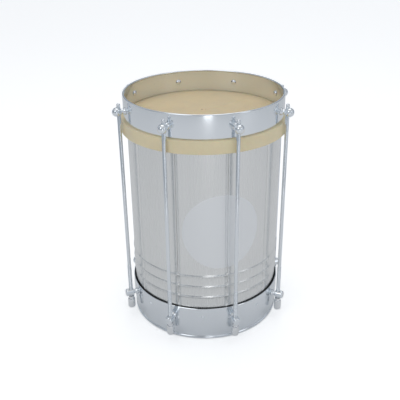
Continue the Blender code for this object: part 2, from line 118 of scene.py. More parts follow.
# Rods and nuts
THREAD_LENGTH = 73.0 * MM
NUT_HEX_HALF = 5.0 * MM
NUT_HEX_LENGTH = 15.0 * MM
NUT_BEVEL = 0.25 * MM
NUT_NECK = 3.9 * MM
NUT_COLLAR = 4.5 * MM

# Screws: the seats of their heads, and how far their shanks reach into the lugs
HOOP_SCREW_SEAT = 112.2 * MM
HOOP_SCREW_GRIP = 6.0 * MM
RING_SCREW_SEAT = 108.4 * MM
RING_SCREW_GRIP = 8.8 * MM
SCREW_HEAD = 4.0 * MM
SCREW_DOME = 2.2 * MM
SCREW_SHANK = 1.9 * MM
SCREW_RECESS = (0.9 * MM, 4.4 * MM, 1.8 * MM)

# Stick: its thickness, the neck under the winding, and its nodes
STICK_RADIUS = 3.0 * MM
STICK_NECK = 1.9 * MM
NECK_HALF = 3.65 * MM
NODE_FIRST = 78.0 * MM
NODE_PITCH = 96.0 * MM
NODES = 2

# Winding and stitches of the tie
WINDING_HALF = 3.0 * MM
WINDING_INSIDE = 2.62 * MM
WINDING_MIDDLE = 3.75 * MM
WINDING_STRAND = 0.42 * MM
WINDING_TURNS = 7
STITCHES = ((-2.4 * MM, -0.4 * MM), (2.3 * MM, 0.5 * MM))
STITCH_SINK = 0.1 * MM

# Photograph: camera found from the rims, rods and ring, in the 400 by 400 frame
PHOTO_SIDE = 400
FOCAL_PIXELS = 620.5
SENSOR_WIDTH = 36.0
CAMERA_PLACE = (0.0291, -0.8494, 0.5872)
CAMERA_PITCH = math.radians(25.862)
CAMERA_YAW = math.radians(-2.428)
CAMERA_ROLL = math.radians(-0.635)


class CuicaSizes(bpy.types.PropertyGroup):
    """Sizes that a user would change"""

    sheet: FloatProperty(
        name="Shell sheet", description="Thickness of the shell's sheet", default=1.0 * MM, unit="LENGTH"
    )
    flute_width: FloatProperty(
        name="Flute width", description="Width of a pressed flute", default=4.4 * MM, unit="LENGTH"
    )
    flute_depth: FloatProperty(
        name="Flute depth", description="Depth of a pressed flute", default=2.0 * MM, unit="LENGTH"
    )
    bead_rise: FloatProperty(
        name="Bead rise", description="Height of a bead over the shell", default=1.0 * MM, unit="LENGTH"
    )
    ball_radius: FloatProperty(
        name="Ball radius", description="Radius of a top lug's ball", default=6.3 * MM, unit="LENGTH"
    )
    barrel_radius: FloatProperty(
        name="Barrel radius", description="Radius of a bottom lug's barrel", default=5.9 * MM, unit="LENGTH"
    )
    rod_radius: FloatProperty(
        name="Rod radius", description="Radius of a rod's shank", default=2.65 * MM, unit="LENGTH"
    )
    thread_radius: FloatProperty(
        name="Thread radius", description="Outer radius of a rod's thread", default=3.0 * MM, unit="LENGTH"
    )
    thread_pitch: FloatProperty(
        name="Thread pitch", description="Distance from crest to crest", default=1.0 * MM, unit="LENGTH"
    )
    round_steps: IntProperty(name="Steps", description="Facets round the hoops", default=192, min=48)


class CuicaColours(bpy.types.PropertyGroup):
    """Colours of the finishes"""

    steel: FloatVectorProperty(
        name="Steel", description="Brushed stainless shell", subtype="COLOR", default=(0.80, 0.80, 0.79)
    )
    chrome: FloatVectorProperty(
        name="Chrome", description="Plated hoop, ring and lugs", subtype="COLOR", default=(0.82, 0.85, 0.88)
    )
    skin: FloatVectorProperty(
        name="Skin", description="Goat skin of the head", subtype="COLOR", default=(0.84, 0.68, 0.42)
    )
    skin_edge: FloatVectorProperty(
        name="Lapped skin",
        description="Thicker skin round the flesh hoop",
        subtype="COLOR",
        default=(0.90, 0.78, 0.52),
    )
    bamboo: FloatVectorProperty(
        name="Bamboo", description="Stick under the head", subtype="COLOR", default=(0.66, 0.50, 0.27)
    )
    thread: FloatVectorProperty(
        name="Thread", description="Waxed thread of the tie", subtype="COLOR", default=(0.30, 0.19, 0.10)
    )
    wood: FloatVectorProperty(
        name="Wood", description="Bent wood of the flesh hoop", subtype="COLOR", default=(0.50, 0.33, 0.18)
    )


def sizes():
    """The scene's sizes."""
    return bpy.context.scene.cuica_sizes


def colours():
    """The scene's colours."""
    return bpy.context.scene.cuica_colours


def deselect_all():
    """Leaves object mode with nothing selected."""
    if bpy.context.object and bpy.context.object.mode != "OBJECT":
        bpy.ops.object.mode_set(mode="OBJECT")
    bpy.ops.object.select_all(action="DESELECT")


def make_active(piece):
    """Selects one piece alone."""
    deselect_all()
    piece.select_set(True)
    bpy.context.view_layer.objects.active = piece


def lathe(name, profile, steps, closed):
    """Turned piece on the Z axis: a vertex is drawn along the section (r, z) and spun.

    A closed section makes a ring, and an open one runs from the axis to the axis."""
    deselect_all()
    bpy.ops.mesh.primitive_plane_add(size=1 * MM)
    piece = bpy.context.object
    piece.name = name
    bpy.ops.object.mode_set(mode="EDIT")
    bpy.ops.mesh.merge(type="CENTER")
    route = list(profile) + ([profile[0]] if closed else [])
    place = Vector((0.0, 0.0, 0.0))
    for i, (r, z) in enumerate(route):
        move = Vector((r, 0.0, z)) - place
        place = Vector((r, 0.0, z))
        if i == 0:
            bpy.ops.transform.translate(value=move)
        else:
            bpy.ops.mesh.extrude_region_move(TRANSFORM_OT_translate={"value": move})
    bpy.ops.mesh.select_all(action="SELECT")
    bpy.ops.mesh.remove_doubles(threshold=1e-6)
    bpy.ops.mesh.spin(steps=steps, angle=2 * math.pi, center=(0, 0, 0), axis=(0, 0, 1))
    bpy.ops.mesh.select_all(action="SELECT")
    bpy.ops.mesh.remove_doubles(threshold=1e-6)
    bpy.ops.mesh.normals_make_consistent(inside=False)
    bpy.ops.object.mode_set(mode="OBJECT")
    return piece


def soften(piece, width, segments=2, degrees=30.0):
    """Small bevel on a piece's sharp edges, applied, with smooth shading by angle."""
    make_active(piece)
    bevel = piece.modifiers.new("edges", "BEVEL")
    bevel.width = width
    bevel.segments = segments
    bevel.limit_method = "ANGLE"
    bevel.angle_limit = math.radians(degrees)
    bpy.ops.object.modifier_apply(modifier=bevel.name)
    bpy.ops.object.shade_smooth_by_angle(angle=math.radians(40))


def smooth(piece, degrees=40.0):
    """Smooth shading by angle."""
    make_active(piece)
    bpy.ops.object.shade_smooth_by_angle(angle=math.radians(degrees))


def cut(piece, tool, operation="DIFFERENCE"):
    """Exact Boolean of a piece with a tool, applied; the tool is removed."""
    make_active(piece)
    change = piece.modifiers.new("cut", "BOOLEAN")
    change.object = tool
    change.operation = operation
    change.solver = "EXACT"
    bpy.ops.object.modifier_apply(modifier=change.name)
    bpy.data.objects.remove(tool)


def outward_matrix(azimuth, radius, height):
    """Place of a turned piece whose Z axis points out from the drum at an azimuth from the front."""
    place = Vector((radius * math.sin(azimuth), -radius * math.cos(azimuth), height))
    turn = Matrix.Rotation(azimuth, 4, "Z") @ Matrix.Rotation(math.pi / 2, 4, "X")
    return Matrix.Translation(place) @ turn


def upright_matrix(azimuth, radius, height):
    """Place of an upright piece on the rod circle."""
    place = Vector((radius * math.sin(azimuth), -radius * math.cos(azimuth), height))
    return Matrix.Translation(place) @ Matrix.Rotation(azimuth, 4, "Z")


def settle(piece, matrix):
    """Puts a piece in place, then moves its place into its mesh."""
    piece.matrix_world = matrix
    make_active(piece)
    bpy.ops.object.transform_apply(location=True, rotation=True, scale=True)


def copies(master, name, matrices, finish, bodies, nodes):
    """Copies of a master piece, each with its own mesh, finish, body and replaced node."""
    for number, matrix in enumerate(matrices, 1):
        make_active(master)
        bpy.ops.object.duplicate(linked=False)
        piece = bpy.context.object
        piece.name = f"{name}_{number}"
        settle(piece, matrix)
        dress(piece, finish)
        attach(piece, bodies[number - 1])
        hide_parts(nodes[number - 1])
    bpy.data.objects.remove(master)


def dress(piece, finish):
    """Gives a piece one finish."""
    piece.data.materials.clear()
    piece.data.materials.append(finish)


def lug_azimuths():
    """Azimuths of the lugs and rods, counted from the front."""
    return [LUG_FIRST + 2 * math.pi * i / LUG_COUNT for i in range(LUG_COUNT)]


def numbered(stem):
    """The names of a set of eight nodes."""
    return [f"{stem}_{i}" for i in range(1, LUG_COUNT + 1)]


def arc(centre_r, centre_z, radius, first, last, steps):
    """Points (r, z) on an arc, angles in degrees from the +r direction."""
    points = []
    for i in range(steps + 1):
        angle = math.radians(first + (last - first) * i / steps)
        points.append((centre_r + radius * math.cos(angle), centre_z + radius * math.sin(angle)))
    return points


def ease(t):
    """Smooth step from 0 to 1."""
    t = min(max(t, 0.0), 1.0)
    return t * t * (3 - 2 * t)


def streak_group():
    """Node group with two values round 0.5: brushing drawn out along Z, and slow smudges."""
    group = bpy.data.node_groups.new("brushed_streaks", "ShaderNodeTree")
    face = group.interface
    face.new_socket("Fineness", in_out="INPUT", socket_type="NodeSocketFloat")
    face.new_socket("Stretch", in_out="INPUT", socket_type="NodeSocketFloat")
    face.new_socket("Streak", in_out="OUTPUT", socket_type="NodeSocketFloat")
    face.new_socket("Smudge", in_out="OUTPUT", socket_type="NodeSocketFloat")
    nodes, links = group.nodes, group.links
    enter = nodes.new("NodeGroupInput")
    leave = nodes.new("NodeGroupOutput")
    coords = nodes.new("ShaderNodeTexCoord")
    squeeze = nodes.new("ShaderNodeVectorMath")
    squeeze.operation = "MULTIPLY"
    axes = nodes.new("ShaderNodeCombineXYZ")
    axes.inputs["X"].default_value = 1.0
    axes.inputs["Y"].default_value = 1.0
    links.new(enter.outputs["Stretch"], axes.inputs["Z"])
    links.new(coords.outputs["Object"], squeeze.inputs[0])
    links.new(axes.outputs["Vector"], squeeze.inputs[1])
    fine = nodes.new("ShaderNodeTexNoise")
    fine.inputs["Detail"].default_value = 3.0
    links.new(squeeze.outputs["Vector"], fine.inputs["Vector"])
    links.new(enter.outputs["Fineness"], fine.inputs["Scale"])
    broad = nodes.new("ShaderNodeTexNoise")
    broad.inputs["Scale"].default_value = 14.0
    broad.inputs["Detail"].default_value = 4.0
    links.new(coords.outputs["Object"], broad.inputs["Vector"])
    links.new(fine.outputs["Fac"], leave.inputs["Streak"])
    links.new(broad.outputs["Fac"], leave.inputs["Smudge"])
    return group


def new_finish(name, colour, roughness, metallic):
    """Material with its Principled shader, and its node tree."""
    finish = bpy.data.materials.new(name)
    finish.use_nodes = True
    tree = finish.node_tree
    shader = tree.nodes["Principled BSDF"]
    shader.inputs["Base Color"].default_value = (*colour, 1.0)
    shader.inputs["Roughness"].default_value = roughness
    shader.inputs["Metallic"].default_value = metallic
    return finish, tree, shader


def span(tree, source, low, high):
    """Map Range from a noise's usual values, 0.3 to 0.7, to a span."""
    node = tree.nodes.new("ShaderNodeMapRange")
    node.inputs["From Min"].default_value = 0.3
    node.inputs["From Max"].default_value = 0.7
    node.inputs["To Min"].default_value = low
    node.inputs["To Max"].default_value = high
    tree.links.new(source, node.inputs["Value"])
    return node.outputs["Result"]


def shaded(colour, share):
    """A colour made darker or lighter, at most 1 in each channel."""
    return [min(channel * share, 1.0) for channel in colour]


def tint(tree, factor, first, second):
    """Mix of two colours by a factor."""
    node = tree.nodes.new("ShaderNodeMix")
    node.data_type = "RGBA"
    node.inputs["A"].default_value = (*first, 1.0)
    node.inputs["B"].default_value = (*second, 1.0)
    tree.links.new(factor, node.inputs["Factor"])
    return node.outputs["Result"]


def bump(tree, shader, height, strength, distance):
    """Bump that feeds the shader's normal."""
    node = tree.nodes.new("ShaderNodeBump")
    node.inputs["Strength"].default_value = strength
    node.inputs["Distance"].default_value = distance
    tree.links.new(height, node.inputs["Height"])
    tree.links.new(node.outputs["Normal"], shader.inputs["Normal"])


def streaks(tree, fineness, stretch):
    """The brushed-streaks group, placed with its values."""
    node = tree.nodes.new("ShaderNodeGroup")
    node.node_tree = bpy.data.node_groups["brushed_streaks"]
    node.inputs["Fineness"].default_value = fineness
    node.inputs["Stretch"].default_value = stretch
    return node


# Painted highlight on the shell, a round patch paler, rougher and less metallic than the steel that stands in
# for a soft reflection: centre, size and the softness of its edge
PAINTED_HIGHLIGHT_AZIMUTH = math.radians(14.6)
PAINTED_HIGHLIGHT_HEIGHT = 177.0 * MM
PAINTED_HIGHLIGHT_RADIUS = 56.5 * MM
PAINTED_HIGHLIGHT_EDGE = 0.3 * MM
PAINTED_HIGHLIGHT_ROUGHNESS = 0.42
PAINTED_HIGHLIGHT_METALLIC = 0.80
PAINTED_HIGHLIGHT_COLOUR = (0.86, 0.87, 0.88, 1.0)
BRUSHING = 1500.0
BRUSHING_STRETCH = 0.004


def painted_highlight_mask(tree):
    """1 inside the painted highlight, a round patch wrapped on the shell, from Object coordinates."""
    nodes, links = tree.nodes, tree.links
    coords = nodes.new("ShaderNodeTexCoord")
    parts = nodes.new("ShaderNodeSeparateXYZ")
    links.new(coords.outputs["Object"], parts.inputs["Vector"])

    def math_node(operation, first, second=None):
        node = nodes.new("ShaderNodeMath")
        node.operation = operation
        for socket, value in zip(node.inputs, (first, second)):
            if value is None:
                continue
            if isinstance(value, (int, float)):
                socket.default_value = value
            else:
                links.new(value, socket)
        return node.outputs["Value"]

    turn = math_node("ARCTAN2", parts.outputs["X"], math_node("MULTIPLY", parts.outputs["Y"], -1.0))
    across = math_node("MULTIPLY", math_node("SUBTRACT", turn, PAINTED_HIGHLIGHT_AZIMUTH), SHELL_HIGH[0])
    along = math_node("SUBTRACT", parts.outputs["Z"], PAINTED_HIGHLIGHT_HEIGHT)
    reach = math_node(
        "SQRT", math_node("ADD", math_node("POWER", across, 2.0), math_node("POWER", along, 2.0))
    )
    edge = nodes.new("ShaderNodeMapRange")
    edge.inputs["From Min"].default_value = PAINTED_HIGHLIGHT_RADIUS - PAINTED_HIGHLIGHT_EDGE
    edge.inputs["From Max"].default_value = PAINTED_HIGHLIGHT_RADIUS + PAINTED_HIGHLIGHT_EDGE
    edge.inputs["To Min"].default_value = 1.0
    edge.inputs["To Max"].default_value = 0.0
    links.new(reach, edge.inputs["Value"])
    return edge.outputs["Result"]


def brushed_steel():
    """Stainless sheet with upright brushing, and a painted highlight: a round patch made paler, rougher and
    less metallic.
    """
    finish, tree, shader = new_finish("brushed_stainless", colours().steel, 0.26, 1.0)
    node = streaks(tree, BRUSHING, BRUSHING_STRETCH)
    rough = span(tree, node.outputs["Streak"], 0.20, 0.34)
    # Painted highlight: inside this round patch the steel gets a paler colour, more roughness and less metal.
    highlight = painted_highlight_mask(tree)
    more = tree.nodes.new("ShaderNodeMix")
    more.data_type = "FLOAT"
    tree.links.new(highlight, more.inputs["Factor"])
    tree.links.new(rough, more.inputs["A"])
    more.inputs["B"].default_value = PAINTED_HIGHLIGHT_ROUGHNESS
    tree.links.new(more.outputs["Result"], shader.inputs["Roughness"])
    steel = colours().steel
    base = tint(tree, node.outputs["Smudge"], shaded(steel, 0.97), shaded(steel, 1.03))
    highlight_mix = tree.nodes.new("ShaderNodeMix")
    highlight_mix.data_type = "RGBA"
    tree.links.new(highlight, highlight_mix.inputs["Factor"])
    tree.links.new(base, highlight_mix.inputs["A"])
    highlight_mix.inputs["B"].default_value = PAINTED_HIGHLIGHT_COLOUR
    tree.links.new(highlight_mix.outputs["Result"], shader.inputs["Base Color"])
    metal = tree.nodes.new("ShaderNodeMapRange")
    metal.inputs["To Min"].default_value = 1.0
    metal.inputs["To Max"].default_value = PAINTED_HIGHLIGHT_METALLIC
    tree.links.new(highlight, metal.inputs["Value"])
    tree.links.new(metal.outputs["Result"], shader.inputs["Metallic"])
    bump(tree, shader, node.outputs["Streak"], 0.02, 0.02 * MM)
    return finish


def plated(name, colour, rough_low, rough_high):
    """Chrome with faint smudges."""
    finish, tree, shader = new_finish(name, colour, rough_low, 1.0)
    node = streaks(tree, 90.0, 1.0)
    tree.links.new(span(tree, node.outputs["Smudge"], rough_low, rough_high), shader.inputs["Roughness"])
    bump(tree, shader, node.outputs["Streak"], 0.03, 0.03 * MM)
    return finish


def hide(name, colour, vein, translucence):
    """Scraped goat skin: a cloudy colour with fine darker flecks."""
    finish, tree, shader = new_finish(name, colour, 0.5, 0.0)
    coords = tree.nodes.new("ShaderNodeTexCoord")
    cloud = tree.nodes.new("ShaderNodeTexNoise")
    cloud.inputs["Scale"].default_value = 22.0
    cloud.inputs["Detail"].default_value = 6.0
    cloud.inputs["Roughness"].default_value = 0.6
    tree.links.new(coords.outputs["Object"], cloud.inputs["Vector"])
    fleck = tree.nodes.new("ShaderNodeTexNoise")
    fleck.inputs["Scale"].default_value = 900.0
    fleck.inputs["Detail"].default_value = 3.0
    tree.links.new(coords.outputs["Object"], fleck.inputs["Vector"])
    factor = span(tree, cloud.outputs["Fac"], 0.0, 1.0)
    base = tint(tree, factor, shaded(colour, 0.93), shaded(colour, 1.06))
    mixed = tree.nodes.new("ShaderNodeMix")
    mixed.data_type = "RGBA"
    mixed.inputs["B"].default_value = (*vein, 1.0)
    tree.links.new(span(tree, fleck.outputs["Fac"], 0.12, 0.0), mixed.inputs["Factor"])
    tree.links.new(base, mixed.inputs["A"])
    tree.links.new(mixed.outputs["Result"], shader.inputs["Base Color"])
    tree.links.new(span(tree, cloud.outputs["Fac"], 0.42, 0.58), shader.inputs["Roughness"])
    shader.inputs["Subsurface Weight"].default_value = translucence
    shader.inputs["Subsurface Radius"].default_value = (0.004, 0.002, 0.001)
    shader.inputs["Sheen Weight"].default_value = 0.05
    bump(tree, shader, fleck.outputs["Fac"], 0.15, 0.1 * MM)
    return finish


def fibrous(name, colour, stretch, scale, roughness):
    """Wood, bamboo or thread: fibres along Z."""
    finish, tree, shader = new_finish(name, colour, roughness, 0.0)
    node = streaks(tree, scale, stretch)
    factor = span(tree, node.outputs["Streak"], 0.0, 1.0)
    base = tint(tree, factor, shaded(colour, 0.72), shaded(colour, 1.15))
    tree.links.new(base, shader.inputs["Base Color"])
    rough = span(tree, node.outputs["Smudge"], roughness - 0.08, roughness + 0.08)
    tree.links.new(rough, shader.inputs["Roughness"])
    bump(tree, shader, node.outputs["Streak"], 0.25, 0.12 * MM)
    return finish


# Shell geometry: the section's rows and the columns that crowd into each flute
FLUTES = 10
FLUTE_FOOT = 58.0 * MM
FLUTE_HEAD = 300.0 * MM
FLUTE_FADE = 4.0 * MM
BEAD_FIRST = 73.1 * MM
BEAD_PITCH = 17.3 * MM
BEAD_WIDTH = 5.2 * MM
BEADS = 3
BEARING_ROLL = 3.2 * MM
COLUMNS_IN_FLUTE = 14
COLUMNS_IN_PANEL = 22


def flute_share(z):
    """How much of a flute's depth a height has: it fades at both ends and is flattened at a bead."""
    share = ease((z - FLUTE_FOOT) / FLUTE_FADE + 0.5) * ease((FLUTE_HEAD - z) / FLUTE_FADE + 0.5)
    for i in range(BEADS):
        away = abs(z - BEAD_FIRST - BEAD_PITCH * i) / (BEAD_WIDTH / 2)
        share *= ease(away - 0.1)
    return share


def bead_rise(z):
    """Rise of the beads at a height."""
    rise = 0.0
    for i in range(BEADS):
        away = abs(z - BEAD_FIRST - BEAD_PITCH * i) / (BEAD_WIDTH / 2)
        if away < 1:
            rise = sizes().bead_rise * 0.5 * (1 + math.cos(math.pi * away))
    return rise


def shell_heights():
    """Row heights: close at the flutes' ends and at the beads."""
    marks = [SHELL_LOW[2], 30 * MM]
    marks += [FLUTE_FOOT + FLUTE_FADE * (i / 4 - 0.5) for i in range(5)]
    for i in range(BEADS):
        middle = BEAD_FIRST + BEAD_PITCH * i
        marks += [middle + BEAD_WIDTH * (j / 8 - 0.5) for j in range(9)]
        marks.append(middle + BEAD_PITCH / 2)
    marks += [150 * MM, 200 * MM, 250 * MM]
    marks += [FLUTE_HEAD + FLUTE_FADE * (i / 4 - 0.5) for i in range(5)]
    return sorted(marks)


class CUICA_OT_shell(bpy.types.Operator):
    """Models the fluted and beaded shell with its bearing edge"""

    bl_idname = "cuica.shell"
    bl_label = "Shell"

    def execute(self, context):
        sheet = sizes().sheet
        outer = SHELL_HIGH[0] - sizes().bead_rise
        top = SHELL_HIGH[2]
        roll = BEARING_ROLL / 2
        heights = shell_heights()
        profile = [(outer + bead_rise(z), z) for z in heights]
        profile += arc(outer - roll, top - roll, roll, 0, 180, 10)
        profile += [(outer - BEARING_ROLL, top - 4.0 * MM), (outer - sheet, top - 5.4 * MM)]
        profile += [(outer - sheet + bead_rise(z), z) for z in reversed(heights)]
        panel = COLUMNS_IN_FLUTE + COLUMNS_IN_PANEL
        count = FLUTES * panel
        shell = lathe("fluted_shell", profile, count, closed=True)
        half = sizes().flute_width / 2 / outer * 1.25
        sector = 2 * math.pi / FLUTES
        for vert in shell.data.vertices:
            x, y, z = vert.co
            column = round(math.atan2(y, x) / (2 * math.pi) * count) % count
            flute, step = divmod(column, panel)
            middle = sector * (flute + 0.5)
            if step <= COLUMNS_IN_FLUTE:
                across = 2 * step / COLUMNS_IN_FLUTE - 1
                azimuth = middle + half * across
                press = 0.5 * (1 + math.cos(math.pi * across))
                press = ease(press * 1.5)
            else:
                rest = (step - COLUMNS_IN_FLUTE) / COLUMNS_IN_PANEL
                azimuth = middle + half + (sector - 2 * half) * rest
                press = 0.0
            r = math.hypot(x, y) - sizes().flute_depth * press * flute_share(z)
            vert.co = (r * math.sin(azimuth), -r * math.cos(azimuth), z)
        make_active(shell)
        bpy.ops.object.mode_set(mode="EDIT")
        bpy.ops.mesh.select_all(action="SELECT")
        bpy.ops.mesh.normals_make_consistent(inside=False)
        bpy.ops.object.mode_set(mode="OBJECT")
        smooth(shell, 50)
        dress(shell, brushed_steel())
        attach(shell, "root")
        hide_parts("shell")
        return {"FINISHED"}


class CUICA_OT_ring(bpy.types.Operator):
    """Models the bottom ring with its hem and rivets"""

    bl_idname = "cuica.ring"
    bl_label = "Bottom ring"

    def execute(self, context):
        high = RING_TOP
        wall, foot, inner = RING_WALL, RING_FOOT, RING_HEM
        sheet, hem, bend = RING_SHEET, RING_HEM_HEIGHT, RING_BEND
        profile = [(wall - 0.5 * MM, high), (wall, high - 0.5 * MM), (wall, bend + 1.5 * MM)]
        profile += [(wall - 0.1 * MM, bend - 1.5 * MM), (foot + 0.1 * MM, 7.5 * MM)]
        profile += [(foot - 0.15 * MM, 6.3 * MM)]
        profile += arc(foot - 2.0 * MM, 3.0 * MM, 2.6 * MM, 60, -40, 8)
        profile += [(foot - 1.6 * MM, 0.25 * MM), (foot - 2.4 * MM, 0.0), (inner + 0.9 * MM, 0.0)]
        profile += [(inner, 1.4 * MM), (inner, hem), (inner + sheet, hem), (inner + sheet, sheet)]
        profile += [(foot - 1.3 * MM, sheet), (foot - sheet, hem), (wall - sheet, bend)]
        profile += [(wall - sheet, high - 0.4 * MM), (wall - sheet + 0.4 * MM, high)]
        ring = lathe("hemmed_ring", profile, sizes().round_steps, closed=True)
        smooth(ring, 35)
        finish = plated("ring_chrome", colours().chrome, 0.08, 0.15)
        dress(ring, finish)
        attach(ring, "root")
        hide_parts("bottom_ring")
        dome = [(0.0, -1.0 * MM), (RIVET_RADIUS, -1.0 * MM), (RIVET_RADIUS, 0.15 * MM)]
        dome += [(1.9 * MM, 0.75 * MM), (1.0 * MM, 1.1 * MM), (0.0, 1.2 * MM)]
        for number, azimuth in enumerate(lug_azimuths(), 1):
            rivet = lathe(f"ring_rivet_{number}", dome, 20, closed=False)
            middle = azimuth + math.pi / LUG_COUNT
            settle(rivet, outward_matrix(middle, wall, RIVET_HEIGHT))
            smooth(rivet, 30)
            dress(rivet, finish)
            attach(rivet, "root")
        return {"FINISHED"}


class CUICA_OT_hoop(bpy.types.Operator):
    """Models the tall counterhoop with its rolled rim"""

    bl_idname = "cuica.hoop"
    bl_label = "Counterhoop"

    def execute(self, context):
        outer = HOOP_HIGH[0]
        low, high = HOOP_LOW[2], HOOP_HIGH[2]
        sheet, rim = HOOP_SHEET, HOOP_RIM
        profile = [(outer - 0.3 * MM, low), (outer, low + 0.3 * MM), (outer, high - rim)]
        profile += arc(outer - rim, high - rim, rim, 15, 215, 12)
        profile += [(outer - sheet, high - 2 * rim - 0.4 * MM), (outer - sheet, low + 0.2 * MM)]
        profile += [(outer - sheet + 0.2 * MM, low)]
        hoop = lathe("tall_hoop", profile, sizes().round_steps, closed=True)
        smooth(hoop, 35)
        dress(hoop, plated("hoop_chrome", colours().chrome, 0.10, 0.17))
        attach(hoop, "hoop")
        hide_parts("counterhoop")
        return {"FINISHED"}


def head_relief(x, y):
    """Height of the head's wrinkle and slow waves at a place, fading toward the rim."""
    lift = 0.0
    for a, b in zip(WRINKLE, WRINKLE[1:]):
        along = b - a
        t = min(max((Vector((x, y)) - a).dot(along) / along.length_squared, 0.0), 1.0)
        away = (Vector((x, y)) - a - along * t).length
        lift = max(lift, WRINKLE_RISE * math.exp(-(away / WRINKLE_WIDTH) ** 2))
    cloud = 0.25 * MM * math.sin(x * 90 + 1.3) * math.sin(y * 70 + 0.4)
    near = 1 - ease((math.hypot(x, y) - 80 * MM) / (26 * MM))
    return (lift + cloud) * near


def head_piece():
    """The head: a thin tent that rises to the tie, with a collar turned down over the bearing edge."""
    skin, shoulder, bend = SKIN, HEAD_SHOULDER, HEAD_COLLAR_BEND
    low, edge, collar = HEAD_LOW[2], HEAD_EDGE, HEAD_HIGH[0]
    rise = HEAD_HIGH[2] - edge
    tent = [(i / HEAD_STEPS, 1 - i / HEAD_STEPS) for i in range(HEAD_STEPS + 1)]
    top = [(shoulder * t, edge + rise * (0.35 * s + 0.65 * s ** 3)) for t, s in tent]
    profile = list(top)
    profile += arc(collar - bend, edge - 1.75 * MM, bend, 75, 0, 6)
    profile += [(collar, low), (collar - skin, low), (collar - skin, edge - 2.2 * MM)]
    profile += [(collar - skin - 0.5 * MM, edge - 1.2 * MM), (shoulder + 0.5 * MM, edge - skin)]
    profile += [(r, z - skin) for r, z in reversed(top)]
    head = lathe("goat_head", profile, sizes().round_steps, closed=False)
    for vert in head.data.vertices:
        x, y, z = vert.co
        if z >= edge - 2 * MM:
            vert.co.z = z + head_relief(x, y)
    smooth(head, 40)
    dress(head, hide("head_hide", colours().skin, (0.45, 0.28, 0.12), 0.25))
    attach(head, "root")
    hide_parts("head_skin")


def band_piece():
    """The band: the skin's lap, closed over the flesh hoop and a little uneven outside."""
    skin, inner, corner = SKIN, BAND_INSIDE, BAND_CORNER
    low, high, outer = LAP_LOW[2], LAP_HIGH[2], LAP_HIGH[0]
    skirt = low + BAND_SKIRT
    section = [(inner, high)]
    section += arc(outer - corner, high - corner, corner, 90, 0, 5)
    section += arc(outer - corner, low + corner, corner, 0, -90, 5)
    section += [(inner, low), (inner, skirt), (inner + skin, skirt), (inner + skin, low + skin)]
    section += [(outer - skin - 0.4 * MM, low + skin), (outer - skin, low + skin + 0.4 * MM)]
    section += [(outer - skin, high - skin - 0.4 * MM), (outer - skin - 0.4 * MM, high - skin)]
    section += [(inner, high - skin)]
    band = lathe("lapped_band", section, sizes().round_steps, closed=True)
    for vert in band.data.vertices:
        x, y, z = vert.co
        r = math.hypot(x, y)
        azimuth = math.atan2(y, x)
        if r > outer - skin * 0.7:
            wave = math.sin(azimuth * 23) * 0.5 + math.sin(azimuth * 41 + 1.0) * 0.3
            push = -BAND_WAVE * (1 + wave)
            vert.co.x += push * x / r
            vert.co.y += push * y / r
    smooth(band, 40)
    dress(band, hide("band_hide", colours().skin_edge, (0.60, 0.42, 0.20), 0.2))
    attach(band, "hoop")
    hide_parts("skin_lap")


class CUICA_OT_skin(bpy.types.Operator):
    """Models the skin head and the band lapped round the flesh hoop"""

    bl_idname = "cuica.skin"
    bl_label = "Skin"

    def execute(self, context):
        head_piece()
        band_piece()
        wood = fibrous("hoop_wood", colours().wood, 1.0, 160.0, 0.6)
        hoop = frame["nodes"]["flesh_hoop"]
        for slot in hoop.material_slots:
            slot.material = wood
        return {"FINISHED"}


def lug_flange():
    """The flange that both kinds of lug start with, as points (r, z) from the mounting face."""
    return [(0.0, 0.0), (4.8 * MM, 0.0), (5.0 * MM, 0.3 * MM), (4.9 * MM, 1.0 * MM)]


def rod_bore(radius, height):
    """Cutter for a rod's hole through a lug that lies on the Z axis."""
    deselect_all()
    bpy.ops.mesh.primitive_cylinder_add(
        vertices=32,
        radius=radius,
        depth=BORE_LENGTH,
        location=(0, 0, height),
        rotation=(math.pi / 2, 0, 0),
    )
    return bpy.context.object


